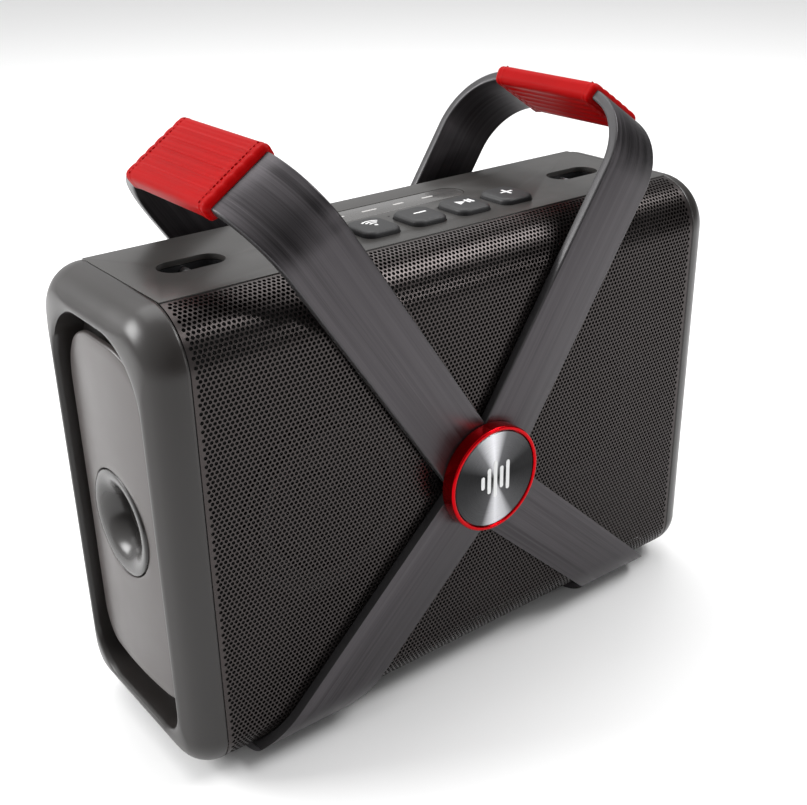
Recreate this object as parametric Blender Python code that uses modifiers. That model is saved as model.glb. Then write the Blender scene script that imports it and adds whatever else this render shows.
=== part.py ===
"""Party speaker: a sealed box with a perforated front, crossed by straps that rise into two handle loops.

Frame: +X to the viewer's right, the grille faces -Y, +Z up, origin on the ground under the middle.
Every length is in metres. One object is one separate physical piece.
"""
import math

import bmesh
import bpy
from mathutils import Matrix, Vector

MM = 0.001

# ---- driving dimensions -------------------------------------------------------------------------
BODY_DEPTH = 116 * MM
BODY_HEIGHT = 226 * MM
BODY_WIDTH = 334 * MM
SEAM_X = 150 * MM               # where the end caps start
TOP_RADIUS = 27 * MM            # long edges of the box, above
BOTTOM_RADIUS = 20 * MM         # and below
END_RADIUS = 17 * MM            # rounding from the long faces into the end faces
GAP = 0.3 * MM                  # clearance between neighbouring pieces
WALL = 2.6 * MM

STRAP_WIDTH = 34 * MM
STRAP_THICKNESS = 5 * MM
STRAP_CLEARANCE = 0.5 * MM      # straps to body
UPPER_ANGLE = math.radians(56.3)
LOWER_ANGLE = math.radians(42.9)
HANDLE_RISE = 197.5 * MM        # along the leg, from the crossing to the top of the loop
HANDLE_RADIUS = 36 * MM
GRIP_LENGTH = 70 * MM
GRIP_WALL = 2.7 * MM

HUB_RADIUS = 27.6 * MM
HUB_HEIGHT = 8 * MM             # stands this far off the straps
REAR_HUB_RADIUS = 24 * MM
REAR_HUB_HEIGHT = 2.8 * MM
FOOT_THICKNESS = 1.3 * MM

BUTTON_PITCH = 27.9 * MM
BUTTON_SIZE = (20 * MM, 22 * MM)
BUTTON_RISE = 3.3 * MM          # above the top panel
BUTTON_DEPTH = 6 * MM           # below it
BUTTON_NAMES = ("button_power", "button_wireless", "button_minus", "button_play", "button_plus")
LENS_SIZE = (98 * MM, 16 * MM)
SLOT_SIZE = (32 * MM, 16 * MM)  # where a shoulder strap hooks on

END_FACE_X = 164 * MM           # crown of the bowed end panel
END_BOW = 300 * MM
RECESS_FLOOR_X = SEAM_X + WALL
PORT_RADIUS = 25.6 * MM
PORT_BORE = 13 * MM
PORT_LENGTH = 48 * MM

DRIVER_X = 80 * MM
DRIVER_STEPS = 20
STUD_RADIUS = 6 * MM
FLAP_SIZE = (44 * MM, 17 * MM)
BOARD_THICKNESS = 1.6 * MM
THROUGH = 200 * MM              # length of a cutter that passes right through the box

# ---- derived places -----------------------------------------------------------------------------
STRAP_STANDOFF = STRAP_CLEARANCE + STRAP_THICKNESS
FRONT_REACH = STRAP_STANDOFF + HUB_HEIGHT
REAR_REACH = STRAP_STANDOFF + REAR_HUB_HEIGHT
FRONT = FRONT_REACH - (FRONT_REACH + BODY_DEPTH + REAR_REACH) / 2
BACK = FRONT + BODY_DEPTH
MIDDLE = (FRONT + BACK) / 2
BOTTOM = FOOT_THICKNESS + GAP + STRAP_STANDOFF
TOP = BOTTOM + BODY_HEIGHT
CENTRE_Z = (BOTTOM + TOP) / 2

HUB_Z = BOTTOM + 108.3 * MM
UPPER_CROSS_Z = BOTTOM + 104.9 * MM
LOWER_CROSS_Z = BOTTOM + 101.8 * MM

PANEL_FRONT = FRONT + 21.6 * MM     # the top panel's front edge
PANEL_BACK = FRONT + 95 * MM
BUTTON_Y = FRONT + 44 * MM
LENS_Y = FRONT + 72 * MM
ANCHOR_X = 116 * MM
ANCHOR_Y = FRONT + 57.5 * MM
BAFFLE_Y = FRONT + 14 * MM
BAFFLE_THICKNESS = 3 * MM
JOINT_Z = (UPPER_CROSS_Z + LOWER_CROSS_Z) / 2
JOINT_SLOPE = math.tan((UPPER_ANGLE - LOWER_ANGLE) / 2)     # the line between an upper and a lower leg
FLAP_Z = BOTTOM + 24 * MM
SCREW_PLACES = [(side * 138 * MM, z) for side in (-1, 1) for z in (BOTTOM + 32 * MM, TOP - 36 * MM)]


# ---- scene, collections, materials --------------------------------------------------------------
for leftover in list(bpy.data.objects):
    bpy.data.objects.remove(leftover)

PARTS = bpy.data.collections.new("party_speaker")
CUTTERS = bpy.data.collections.new("cutters")
bpy.context.scene.collection.children.link(PARTS)
bpy.context.scene.collection.children.link(CUTTERS)


def material(name, color, roughness, metallic=0.0):
    made = bpy.data.materials.new(name)
    made.use_nodes = True
    shader = made.node_tree.nodes["Principled BSDF"]
    shader.inputs["Base Color"].default_value = (*color, 1)
    shader.inputs["Roughness"].default_value = roughness
    shader.inputs["Metallic"].default_value = metallic
    return made


SHELL = material("shell_plastic", (0.10, 0.097, 0.095), 0.42)
INNER = material("inner_plastic", (0.02, 0.02, 0.022), 0.6)
METAL_MESH = material("grille_metal", (0.03, 0.028, 0.028), 0.45, 0.8)
STRAP = material("strap_metal", (0.07, 0.068, 0.07), 0.38, 0.9)
RED = material("red_grip", (0.55, 0.005, 0.01), 0.45)
RED_METAL = material("red_metal", (0.45, 0.004, 0.008), 0.28, 0.8)
SPUN = material("spun_metal", (0.09, 0.09, 0.095), 0.3, 1.0)
RUBBER = material("button_rubber", (0.012, 0.012, 0.013), 0.7)
LENS = material("smoked_lens", (0.12, 0.115, 0.11), 0.25)
BOARD = material("circuit_board", (0.01, 0.10, 0.04), 0.5)
STEEL = material("steel", (0.45, 0.45, 0.46), 0.35, 1.0)
PAPER = material("driver_cone", (0.03, 0.03, 0.032), 0.8)
MAGNET = material("ferrite", (0.05, 0.05, 0.055), 0.55)
BATTERY = material("battery_wrap", (0.03, 0.07, 0.2), 0.4)


# ---- outlines -----------------------------------------------------------------------------------
def arc(centre, radius, start, end, steps=8):
    """Points on a circle, from start to end in degrees."""
    turn = [math.radians(start + (end - start) * i / steps) for i in range(steps + 1)]
    return [(centre[0] + radius * math.cos(a), centre[1] + radius * math.sin(a)) for a in turn]


def rounded(u, v, low_radius, high_radius=None, steps=6):
    """A rectangle over u and v, rounded by one radius below and another above."""
    high_radius = low_radius if high_radius is None else high_radius
    corners = (
        ((u[1] - low_radius, v[0] + low_radius), low_radius, -90),
        ((u[1] - high_radius, v[1] - high_radius), high_radius, 0),
        ((u[0] + high_radius, v[1] - high_radius), high_radius, 90),
        ((u[0] + low_radius, v[0] + low_radius), low_radius, 180),
    )
    points = []
    for centre, radius, start in corners:
        points += arc(centre, radius, start, start + 90, steps)
    return points


def centred(u, v, size, radius, steps=6):
    """A rounded rectangle of a given size around (u, v)."""
    half_u, half_v = size[0] / 2, size[1] / 2
    return rounded((u - half_u, u + half_u), (v - half_v, v + half_v), radius, steps=steps)


def stadium(u, v, size):
    """A slot with round ends."""
    return centred(u, v, size, size[1] / 2 - 0.01 * MM)


def body_outline(inset):
    """The box's section in Y and Z, drawn in by inset."""
    return rounded((FRONT + inset, BACK - inset), (BOTTOM + inset, TOP - inset),
                   BOTTOM_RADIUS - inset, TOP_RADIUS - inset, 6)


def body_front_edge(inset):
    """The section from the top panel round the front to the underside, drawn in by inset."""
    top_centre = (FRONT + TOP_RADIUS, TOP - TOP_RADIUS)
    low_centre = (FRONT + BOTTOM_RADIUS, BOTTOM + BOTTOM_RADIUS)
    start = math.degrees(math.acos((PANEL_FRONT - top_centre[0]) / (TOP_RADIUS - inset)))
    points = arc(top_centre, TOP_RADIUS - inset, start, 180, 10)
    return points + arc(low_centre, BOTTOM_RADIUS - inset, 180, 270)


def body_back_edge(inset):
    """The section from the top panel round the back to the underside's front."""
    top_centre = (BACK - TOP_RADIUS, TOP - TOP_RADIUS)
    low_centre = (BACK - BOTTOM_RADIUS, BOTTOM + BOTTOM_RADIUS)
    start = math.degrees(math.acos((PANEL_BACK + GAP - top_centre[0]) / (TOP_RADIUS - inset)))
    points = arc(top_centre, TOP_RADIUS - inset, start, 0, 10)
    points += arc(low_centre, BOTTOM_RADIUS - inset, 0, -90)
    return points + [(FRONT + BOTTOM_RADIUS + GAP, BOTTOM + inset)]


# ---- building blocks ----------------------------------------------------------------------------
def frame(x_axis, y_axis, origin):
    """A placement whose local Z is x_axis cross y_axis."""
    x_axis, y_axis = Vector(x_axis), Vector(y_axis)
    turn = Matrix((x_axis, y_axis, x_axis.cross(y_axis))).transposed()
    return Matrix.Translation(origin) @ turn.to_4x4()


def across_x(x=0.0):
    return frame((0, 1, 0), (0, 0, 1), (x, 0, 0))


def across_y(y=0.0):
    return frame((1, 0, 0), (0, 0, 1), (0, y, 0))


def across_z(z=0.0):
    return frame((1, 0, 0), (0, 1, 0), (0, 0, z))


def finish(made, look):
    """File a piece under the speaker, or under the cutters when it has no look."""
    if look is None:
        CUTTERS.objects.link(made)
        made.hide_render = True
        made.display_type = "WIRE"
    else:
        PARTS.objects.link(made)
        made.data.materials.clear()
        made.data.materials.append(look)
        made.data.shade_smooth()
        made.data.set_sharp_from_angle(angle=math.radians(35))
    return made


def plate(name, outlines, thickness, place, look=None):
    """A flat outline, with any holes as further outlines, given a thickness about its plane."""
    flat = bpy.data.curves.new(name, "CURVE")
    flat.dimensions = "2D"
    flat.fill_mode = "BOTH"
    flat.extrude = thickness / 2
    for outline in outlines:
        spline = flat.splines.new("POLY")
        spline.points.add(len(outline) - 1)
        for point, (u, v) in zip(spline.points, outline):
            point.co = (u, v, 0, 1)
        spline.use_cyclic_u = True
    outline_object = bpy.data.objects.new(name + "_outline", flat)
    CUTTERS.objects.link(outline_object)
    graph = bpy.context.evaluated_depsgraph_get()
    mesh = bpy.data.meshes.new_from_object(outline_object.evaluated_get(graph))
    bpy.data.objects.remove(outline_object)
    shape = bmesh.new()
    shape.from_mesh(mesh)
    bmesh.ops.remove_doubles(shape, verts=shape.verts, dist=0.00001)
    bmesh.ops.recalc_face_normals(shape, faces=shape.faces)
    shape.to_mesh(mesh)
    shape.free()
    made = bpy.data.objects.new(name, mesh)
    made.matrix_world = place
    return finish(made, look)


def block(name, low, high, look=None):
    """A box between two corners, its origin at its middle."""
    low, high = Vector(low), Vector(high)
    mesh = bpy.data.meshes.new(name)
    shape = bmesh.new()
    bmesh.ops.create_cube(shape, size=1, matrix=Matrix.Diagonal((*(high - low), 1)))
    shape.to_mesh(mesh)
    shape.free()
    made = bpy.data.objects.new(name, mesh)
    made.location = (low + high) / 2
    return finish(made, look)


def rod(name, radius, length, place, look=None, segments=32):
    """A cylinder along the local Z of its placement, centred on it."""
    mesh = bpy.data.meshes.new(name)
    shape = bmesh.new()
    bmesh.ops.create_cone(shape, cap_ends=True, radius1=radius, radius2=radius, depth=length,
                          segments=segments)
    shape.to_mesh(mesh)
    shape.free()
    made = bpy.data.objects.new(name, mesh)
    made.matrix_world = place
    return finish(made, look)


def turned(name, profile, place, look=None, steps=40, closed=False):
    """A turned shape. The profile's points are (radius, height), down its outer side."""
    mesh = bpy.data.meshes.new(name)
    edges = [(i, i + 1) for i in range(len(profile) - 1)]
    if closed:
        edges.append((len(profile) - 1, 0))
    mesh.from_pydata([(radius, 0, height) for radius, height in profile], edges, [])
    made = bpy.data.objects.new(name, mesh)
    made.matrix_world = place
    screw = made.modifiers.new("turn", "SCREW")
    screw.steps = screw.render_steps = steps
    screw.use_merge_vertices = True
    screw.merge_threshold = 0.00001
    return finish(made, look)


def combine(made, cutter, operation="DIFFERENCE"):
    step = made.modifiers.new(operation.lower(), "BOOLEAN")
    step.operation = operation
    step.solver = "EXACT"
    step.object = cutter


def soften(made, width, segments=2, angle=50):
    """Round every edge sharper than the given angle."""
    bevel = made.modifiers.new("soften", "BEVEL")
    bevel.width = width
    bevel.segments = segments
    bevel.limit_method = "ANGLE"
    bevel.angle_limit = math.radians(angle)


def along(axis, origin):
    """A placement whose local Z points along a world axis."""
    turn = Vector((0, 0, 1)).rotation_difference(Vector(axis)).to_matrix()
    return Matrix.Translation(origin) @ turn.to_4x4()


# ---- housing ------------------------------------------------------------------------------------
def make_grille():
    """The perforated sheet, as its plain outer shape: over the top edge, down the front, under."""
    sheet = 1.2 * MM
    outline = body_front_edge(0) + body_front_edge(sheet)[::-1]
    grille = plate("front_grille", [outline], 2 * (SEAM_X - GAP), across_x(), METAL_MESH)
    hole = rod("grille_stud_hole", STUD_RADIUS + GAP, 10 * MM, along((0, 1, 0), (0, FRONT, HUB_Z)))
    combine(grille, hole)


def make_rear_shell():
    outline = body_back_edge(0) + body_back_edge(WALL)[::-1]
    shell = plate("rear_shell", [outline], 2 * (SEAM_X - GAP), across_x(), SHELL)
    opening = centred(0, FLAP_Z, (FLAP_SIZE[0] + 2 * GAP, FLAP_SIZE[1] + 2 * GAP), 1 * MM, 2)
    combine(shell, plate("flap_window", [opening], 20 * MM, across_y(BACK)))
    for index, (x, z) in enumerate(SCREW_PLACES):
        place = along((0, 1, 0), (x, BACK, z))
        combine(shell, rod(f"screw_hole_{index + 1}", 1.8 * MM, 12 * MM, place, segments=16))


def make_top_panel():
    play = 0.4 * MM                 # round each button
    outlines = [rounded((-SEAM_X + GAP, SEAM_X - GAP), (PANEL_FRONT + GAP, PANEL_BACK), 0.4 * MM, steps=1)]
    outlines += [stadium(side * ANCHOR_X, ANCHOR_Y, SLOT_SIZE) for side in (-1, 1)]
    window = (BUTTON_SIZE[0] + 2 * play, BUTTON_SIZE[1] + 2 * play)
    outlines += [centred(x, BUTTON_Y, window, 5.4 * MM, 3) for x in button_places()]
    outlines.append(stadium(0, LENS_Y, (LENS_SIZE[0] + 2 * GAP, LENS_SIZE[1] + 2 * GAP)))
    plate("top_panel", outlines, WALL, across_z(TOP - WALL / 2), SHELL)


def make_end_cap(side, name):
    """A rounded end of the box with a recess in its face; its rim is hollow from the inside."""
    cap = block(f"end_cap_{name}", (-BODY_WIDTH / 2, FRONT, BOTTOM), (BODY_WIDTH / 2, BACK, TOP), SHELL)
    shape = bmesh.new()
    shape.from_mesh(cap.data)
    weight = shape.edges.layers.float.new("bevel_weight_edge")
    for edge in shape.edges:
        first, second = (vertex.co for vertex in edge.verts)
        if abs(first.x - second.x) > 0.1:
            edge[weight] = 1.0 if first.z > 0 else BOTTOM_RADIUS / TOP_RADIUS
    shape.to_mesh(cap.data)
    shape.free()
    long_edges = cap.modifiers.new("long_edges", "BEVEL")
    long_edges.width = TOP_RADIUS
    long_edges.segments = 6
    long_edges.limit_method = "WEIGHT"
    end_edges = cap.modifiers.new("end_edges", "BEVEL")
    end_edges.width = END_RADIUS
    end_edges.segments = 4
    end_edges.limit_method = "ANGLE"
    end_edges.angle_limit = math.radians(60)
    end_edges.use_clamp_overlap = False

    margin = 10 * MM
    outer_x = BODY_WIDTH / 2 + margin
    middle, length = side * (SEAM_X + outer_x) / 2, outer_x - SEAM_X
    keep = block(f"cap_slice_{name}", (middle - length / 2, FRONT - margin, BOTTOM - margin),
                 (middle + length / 2, BACK + margin, TOP + margin))
    combine(cap, keep, "INTERSECT")
    pocket = plate(f"recess_{name}", [recess_outline(0)], outer_x - RECESS_FLOOR_X,
                   across_x(side * (outer_x + RECESS_FLOOR_X) / 2))
    combine(cap, pocket)
    rim_wall, hollow_depth = 4.4 * MM, 7 * MM
    hollow = plate(f"rim_hollow_{name}", [body_outline(rim_wall), recess_outline(-WALL)], 2 * hollow_depth,
                   across_x(side * SEAM_X))
    combine(cap, hollow)
    combine(cap, rod(f"cap_port_hole_{name}", PORT_RADIUS - 4 * MM, 30 * MM, port_place(side, SEAM_X), segments=48))


def port_place(side, x):
    """On the port's axis at a distance from the middle, pointing outwards."""
    return along((side, 0, 0), (side * x, MIDDLE, CENTRE_Z))


def recess_outline(inset):
    return rounded((FRONT + 14.5 * MM + inset, BACK - 14.5 * MM - inset),
                   (BOTTOM + 20 * MM + inset, TOP - 19 * MM - inset), 22 * MM - inset, 34 * MM - inset, 7)


def make_end_panel(side, name):
    """The bowed panel in the end cap's recess, with the round mouth of the port in it."""
    thickness = 2.5 * MM
    centre = (END_FACE_X - END_BOW, MIDDLE)
    reach = math.degrees(math.asin(60 * MM / END_BOW))
    front = arc(centre, END_BOW, -reach, reach, 16)
    back = arc(centre, END_BOW - thickness, reach, -reach, 16)
    strip = [(side * x, y) for x, y in front + back]
    panel = plate(f"end_panel_{name}", [strip], BODY_HEIGHT, across_z(CENTRE_Z), SHELL)
    outline = rounded((FRONT + 15.1 * MM, BACK - 19 * MM), (BOTTOM + 32 * MM, TOP - 23 * MM), 16 * MM, 33 * MM, 7)
    keep = plate(f"panel_outline_{name}", [outline], 60 * MM, across_x(side * END_FACE_X))
    combine(panel, keep, "INTERSECT")
    combine(panel, rod(f"panel_port_hole_{name}", PORT_RADIUS + 0.5 * MM, 60 * MM, port_place(side, END_FACE_X),
                       segments=48))


def make_port_tube(side, name):
    """The bass port: a flared mouth flush with the end panel, and a straight tube inwards."""
    lip, wall, skirt, depth = 1.6 * MM, 2 * MM, 4 * MM, 14 * MM
    flare = PORT_RADIUS - lip - PORT_BORE
    back_reach = PORT_RADIUS - PORT_BORE - wall
    profile = [(PORT_RADIUS - lip, 0), (PORT_RADIUS, -0.3 * MM), (PORT_RADIUS, -skirt)]
    for a in (math.radians(30 * i) for i in range(1, 4)):
        profile.append((PORT_BORE + wall + back_reach * (1 - math.sin(a)) ** 1.2,
                        -skirt - (depth - wall) * math.sin(a)))
    profile += [(PORT_BORE + wall, -PORT_LENGTH), (PORT_BORE, -PORT_LENGTH)]
    for a in (math.radians(22.5 * i) for i in range(4)):
        profile.append((PORT_BORE + flare * (1 - math.cos(a)), -depth * (1 - math.sin(a))))
    turned(f"port_tube_{name}", profile, port_place(side, END_FACE_X), INNER, 32, closed=True)


def make_strap_anchor(side, name):
    """The cup under a slot in the top panel, and the steel bar across it that a strap hooks on."""
    wall, depth = 1.6 * MM, 18 * MM
    middle = TOP - WALL - GAP - depth / 2
    outer = stadium(side * ANCHOR_X, ANCHOR_Y, (SLOT_SIZE[0] + 2 * wall, SLOT_SIZE[1] + 2 * wall))
    inner = stadium(side * ANCHOR_X, ANCHOR_Y, SLOT_SIZE)
    cup = plate(f"anchor_cup_{name}", [outer], depth, across_z(middle), INNER)
    combine(cup, plate(f"cup_inside_{name}", [inner], depth, across_z(middle + wall)))
    rod(f"anchor_bar_{name}", 2.2 * MM, SLOT_SIZE[1] - 2 * GAP,
        along((0, 1, 0), (side * ANCHOR_X, ANCHOR_Y, TOP - 6 * MM)), STEEL, 20)


# ---- straps, grips, hub -------------------------------------------------------------------------
def loop_outline(outer_offset, inner_offset, low):
    """The U of a handle loop in Y and along its leg, between two offsets from the strap's faces."""
    front, back = FRONT - STRAP_STANDOFF, BACK + STRAP_STANDOFF
    corner = HANDLE_RISE - HANDLE_RADIUS
    outer = HANDLE_RADIUS + outer_offset
    inner = HANDLE_RADIUS - STRAP_THICKNESS - inner_offset
    front_centre, back_centre = (front + HANDLE_RADIUS, corner), (back - HANDLE_RADIUS, corner)
    points = [(front - outer_offset, low)]
    points += arc(front_centre, outer, 180, 90, 7) + arc(back_centre, outer, 90, 0, 7)
    points += [(back + outer_offset, low), (back - STRAP_THICKNESS - inner_offset, low)]
    points += arc(back_centre, inner, 0, 90, 7) + arc(front_centre, inner, 90, 180, 7)
    return points + [(front + STRAP_THICKNESS + inner_offset, low)]


def leg_frame(side):
    """Local X is depth, local Y runs up the leg, local Z is across the strap."""
    return frame((0, 1, 0), (side * math.cos(UPPER_ANGLE), 0, math.sin(UPPER_ANGLE)), (0, 0, UPPER_CROSS_Z))


def stud_hole(name):
    return rod(name, STUD_RADIUS + GAP, THROUGH, along((0, 1, 0), (0, MIDDLE, HUB_Z)), segments=24)


def make_upper_strap(side, name):
    """One handle: a front leg, the loop over the top and a rear leg, mitred where the legs meet."""
    strap = plate(f"strap_upper_{name}", [loop_outline(0, 0, 0)], STRAP_WIDTH, leg_frame(side), STRAP)
    reach = 80 * MM
    half_gap = GAP / 2
    outline = [(half_gap, JOINT_Z + reach), (half_gap, JOINT_Z + half_gap),
               (reach, JOINT_Z + half_gap + reach * JOINT_SLOPE), (reach, JOINT_Z - reach),
               (-reach, JOINT_Z - reach), (-reach, JOINT_Z + reach)]
    mitre = plate(f"upper_mitre_{name}", [[(side * x, z) for x, z in outline]], THROUGH, across_y(MIDDLE))
    combine(strap, mitre)
    combine(strap, stud_hole(f"upper_stud_hole_{name}"))
    soften(strap, 0.6 * MM)


def make_lower_strap(side, name):
    """One lower strap: down the front, straight under the box and up the back."""
    z_end = BOTTOM + 2 * MM
    half_gap = GAP / 2
    half = STRAP_WIDTH / 2
    sine, cosine = math.sin(LOWER_ANGLE), math.cos(LOWER_ANGLE)

    def upper_edge(z):
        return half * sine + (LOWER_CROSS_Z + half * cosine - z) * cosine / sine

    def lower_edge(z):
        return -half * sine + (LOWER_CROSS_Z - half * cosine - z) * cosine / sine

    start = JOINT_Z - half_gap
    meet = upper_edge(start) / (1 + JOINT_SLOPE * cosine / sine)
    foot = (upper_edge(z_end), lower_edge(z_end))
    slope = sine / cosine
    low_start = LOWER_CROSS_Z - half * cosine - (half_gap + half * sine) * slope
    under = -10 * MM
    outline = [(half_gap, start), (meet, start + meet * JOINT_SLOPE), (foot[0], z_end), (foot[0], under),
               (foot[1], under), (foot[1], z_end), (half_gap, low_start)]

    clear, outer = STRAP_CLEARANCE, STRAP_STANDOFF
    front_centre = (FRONT + BOTTOM_RADIUS, BOTTOM + BOTTOM_RADIUS)
    back_centre = (BACK - BOTTOM_RADIUS, BOTTOM + BOTTOM_RADIUS)
    top = JOINT_Z + 30 * MM
    profile = [(FRONT - outer, top)] + arc(front_centre, BOTTOM_RADIUS + outer, 180, 270, 6)
    profile += arc(back_centre, BOTTOM_RADIUS + outer, 270, 360, 6) + [(BACK + outer, top), (BACK + clear, top)]
    profile += arc(back_centre, BOTTOM_RADIUS + clear, 360, 270, 6)
    profile += arc(front_centre, BOTTOM_RADIUS + clear, 270, 180, 6)
    profile += [(FRONT - clear, top)]
    width = 160 * MM
    strap = plate(f"strap_lower_{name}", [profile], width, across_x(side * width / 2), STRAP)
    keep = plate(f"lower_outline_{name}", [[(side * x, z) for x, z in outline]], THROUGH, across_y(MIDDLE))
    combine(strap, keep, "INTERSECT")
    combine(strap, stud_hole(f"lower_stud_hole_{name}"))
    soften(strap, 0.6 * MM)
    return foot


def make_grip(side, name):
    """The red sleeve round the top of a loop, as its plain outer shape."""
    place = leg_frame(side)
    sleeve = plate(f"grip_{name}", [loop_outline(GRIP_WALL, GRIP_WALL, 60 * MM)], STRAP_WIDTH + 2 * GRIP_WALL,
                   place, RED)
    span = rounded((MIDDLE - GRIP_LENGTH / 2, MIDDLE + GRIP_LENGTH / 2),
                   (HANDLE_RISE - 60 * MM, HANDLE_RISE + 20 * MM), 1 * MM, steps=1)
    combine(sleeve, plate(f"grip_span_{name}", [span], 80 * MM, place), "INTERSECT")
    inside = plate(f"grip_inside_{name}", [loop_outline(GAP, GAP, 50 * MM)], STRAP_WIDTH + 2 * GAP, place)
    combine(sleeve, inside)
    soften(sleeve, 1.2 * MM, 1)


def make_hub():
    """The round red hub over the crossing, its dark disc, the stud behind it and the rear cover."""
    base = FRONT - STRAP_STANDOFF - GAP
    face = FRONT - FRONT_REACH
    height = base - face
    place = along((0, -1, 0), (0, base, HUB_Z))
    rim, recess = 2.2 * MM, 2.2 * MM
    profile = [(0, height - recess), (HUB_RADIUS - rim, height - recess), (HUB_RADIUS - rim, height - 0.5 * MM),
               (HUB_RADIUS - rim + 0.5 * MM, height), (HUB_RADIUS - 0.8 * MM, height),
               (HUB_RADIUS, height - 0.8 * MM), (HUB_RADIUS, 0.6 * MM), (HUB_RADIUS - 0.6 * MM, 0), (0, 0)]
    turned("hub_ring", profile, place, RED_METAL, 48)
    disc_radius = HUB_RADIUS - rim - GAP
    disc_back, disc_front = height - recess + GAP, height - 0.4 * MM
    disc = [(0, disc_front), (disc_radius - 0.4 * MM, disc_front), (disc_radius, disc_front - 0.4 * MM),
            (disc_radius, disc_back), (0, disc_back)]
    turned("hub_disc", disc, place, SPUN, 48)
    stud_front, stud_back = base + GAP, BAFFLE_Y - GAP
    rod("hub_stud", STUD_RADIUS, stud_back - stud_front,
        along((0, 1, 0), (0, (stud_front + stud_back) / 2, HUB_Z)), STEEL, 32)
    thick = REAR_HUB_HEIGHT - GAP
    cover = [(0, thick), (REAR_HUB_RADIUS - 1 * MM, thick), (REAR_HUB_RADIUS, thick - 1 * MM),
             (REAR_HUB_RADIUS, 0), (0, 0)]
    turned("rear_hub_cover", cover, along((0, 1, 0), (0, BACK + STRAP_STANDOFF + GAP, HUB_Z)), SPUN, 32)


def make_feet(side, name, foot):
    centre_x = side * (foot[0] + foot[1]) / 2
    for end, inward in (("front", FRONT + 34 * MM), ("rear", BACK - 34 * MM)):
        pad = plate(f"foot_{end}_{name}", [centred(centre_x, inward, (42 * MM, 16 * MM), 4 * MM, 4)],
                    FOOT_THICKNESS, across_z(FOOT_THICKNESS / 2), RUBBER)
        pad.data.shade_flat()


# ---- controls -----------------------------------------------------------------------------------
def button_places():
    return [BUTTON_PITCH * (index - 2) for index in range(5)]


def make_button(name, x):
    """A rounded square cap with a thin flange that keeps it under the panel."""
    cap = plate(name, [centred(x, BUTTON_Y, BUTTON_SIZE, 5 * MM, 3)], BUTTON_RISE + BUTTON_DEPTH,
                across_z(TOP + (BUTTON_RISE - BUTTON_DEPTH) / 2), RUBBER)
    soften(cap, 1.3 * MM, 2, 60)
    lip = 2 * MM
    outline = centred(x, BUTTON_Y, (BUTTON_SIZE[0] + 2 * lip, BUTTON_SIZE[1] + 2 * lip), 6 * MM, 2)
    combine(cap, plate(name + "_flange", [outline], 1 * MM, across_z(TOP - 3.8 * MM)), "UNION")


def make_controls():
    for name, x in zip(BUTTON_NAMES, button_places()):
        make_button(name, x)
    lens_thickness = 2.2 * MM
    plate("indicator_lens", [stadium(0, LENS_Y, LENS_SIZE)], lens_thickness,
          across_z(TOP - 0.1 * MM - lens_thickness / 2), LENS)
    board_top = TOP - 11 * MM
    block("button_board", (-75 * MM, BUTTON_Y - 11 * MM, board_top - BOARD_THICKNESS),
          (75 * MM, LENS_Y + 8 * MM, board_top), BOARD)


# ---- inside -------------------------------------------------------------------------------------
def make_baffle():
    outline = rounded((-SEAM_X + 4 * MM, SEAM_X - 4 * MM), (BOTTOM + 6 * MM, TOP - 10 * MM), 4 * MM, steps=2)
    holes = [arc((side * DRIVER_X, CENTRE_Z), 38 * MM, 0, 360 - 360 / 48, 47) for side in (-1, 1)]
    plate("front_baffle", [outline] + holes, BAFFLE_THICKNESS, across_y(BAFFLE_Y + BAFFLE_THICKNESS / 2), INNER)
    block("centre_brace", (-1.5 * MM, BAFFLE_Y + BAFFLE_THICKNESS + GAP, BOTTOM + 34 * MM),
          (1.5 * MM, BACK - 19 * MM, TOP - 14 * MM), INNER)


def make_driver(side, name):
    """A loudspeaker: basket, magnet, half-roll surround, and the cone that moves in them."""
    place = along((0, -1, 0), (side * DRIVER_X, BAFFLE_Y - GAP, CENTRE_Z))
    basket = [(46, 1.6), (46, 0), (37.4, 0), (36.6, -6), (26, -26), (26, -27.4), (14, -27.4), (14, -26),
              (24.8, -26), (35.2, -5.6), (36.2, 1.6)]
    turned(f"woofer_basket_{name}", [(r * MM, h * MM) for r, h in basket], place, STEEL, DRIVER_STEPS, closed=True)
    magnet = [(27, -27.8), (27, -42), (4, -42), (4, -27.8)]
    turned(f"woofer_magnet_{name}", [(r * MM, h * MM) for r, h in magnet], place, MAGNET, DRIVER_STEPS, closed=True)
    roll_centre, roll, skin = 36.5, 4.5, 0.8

    def half_roll(radius, steps):
        turns = [math.radians(45 * i) for i in steps]
        return [(roll_centre + radius * math.cos(a), 2 + radius * math.sin(a) * 0.8) for a in turns]

    surround = half_roll(roll, range(4, -1, -1)) + [(44, 2.8), (44, 2)] + half_roll(roll - skin, range(5))
    turned(f"woofer_surround_{name}", [(r * MM, h * MM) for r, h in surround], place, RUBBER, DRIVER_STEPS,
           closed=True)
    rim, neck, fall, coil_end, sheet = 31.2, 12, 13, -22, 1.4
    front = [(neck * math.sin(a), 1.5 - fall + 5 * math.cos(a)) for a in (math.radians(30 * i) for i in range(4))]
    rear = [(rim, 2.2), (rim, 2.2 - sheet), (neck + 1, 1.2 - fall - sheet), (neck + 1, coil_end),
            (neck - 0.2, coil_end), (neck - 0.2, 0.5 - fall - sheet), (0, 4.9 - fall - sheet)]
    turned(f"woofer_cone_{name}", [(r * MM, h * MM) for r, h in front + rear], place, PAPER, DRIVER_STEPS)


def make_electronics():
    block("battery_pack", (-48 * MM, MIDDLE - 10 * MM, BOTTOM + 6 * MM),
          (48 * MM, BACK - 20 * MM, BOTTOM + 32 * MM), BATTERY)
    board_front = BACK - 18 * MM
    block("main_board", (-70 * MM, board_front, BOTTOM + 60 * MM),
          (70 * MM, board_front + BOARD_THICKNESS, BOTTOM + 150 * MM), BOARD)


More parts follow.
